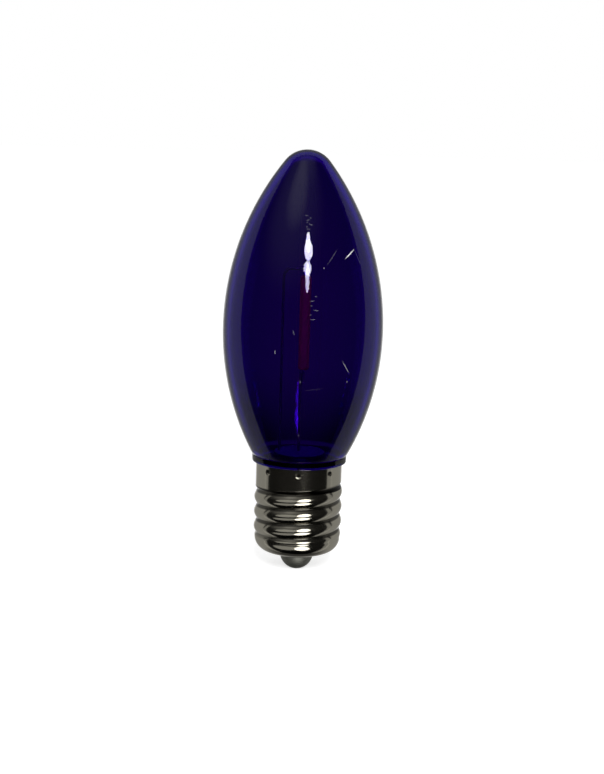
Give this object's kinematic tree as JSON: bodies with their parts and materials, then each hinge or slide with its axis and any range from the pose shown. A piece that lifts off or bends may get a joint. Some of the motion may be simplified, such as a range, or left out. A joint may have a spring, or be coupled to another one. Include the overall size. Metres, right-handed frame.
{
  "type": "christmas light bulb",
  "caption": "Pointed violet Christmas string-light bulb with a transparent plastic envelope, an upright coated light-emitting filament and an intermediate screw base.",
  "frame": {"origin": "on the bulb's axis, at the underside of the centre contact", "axes": "+Z along the axis from the centre contact to the tip; -Y is the side seen in the picture, with a stake dimple in its middle"},
  "size_m": [0.0298, 0.0298, 0.0786],
  "materials": {
    "violet_plastic": "transparent deep violet, polished",
    "nickel_plate": "satin nickel plate",
    "black_insulator": "black moulded insulator",
    "contact_metal": "grey satin",
    "board_laminate": "pale glass-fibre laminate",
    "chip_package": "black moulding compound",
    "chip_ceramic": "dark glazed chip",
    "capacitor_can": "bare can",
    "resistor_coat": "lacquered",
    "tinned_wire": "tinned",
    "solder": "bright solder",
    "pale_holder": "pale moulded plug",
    "filament_coat": "orange-red silicone coat",
    "support_metal": "drawn nickel"
  },
  "bodies": {
    "root": {"envelope": "violet_plastic", "screw_shell": "nickel_plate", "base_insulator": "black_insulator", "centre_contact": "contact_metal", "driver_board": "board_laminate", "bridge_rectifier": "chip_package", "regulator_chip": "chip_package", "chip_resistors": "chip_ceramic", "smoothing_capacitor": "capacitor_can", "fuse_resistor": "resistor_coat", "contact_wire": "tinned_wire", "shell_wire": "tinned_wire", "support_solder": "solder", "wire_holder": "pale_holder", "filament": "filament_coat", "filament_top_tab": "support_metal", "filament_bottom_tab": "support_metal", "top_support_wire": "support_metal", "bottom_support_wire": "support_metal"}
  },
  "joints": []
}
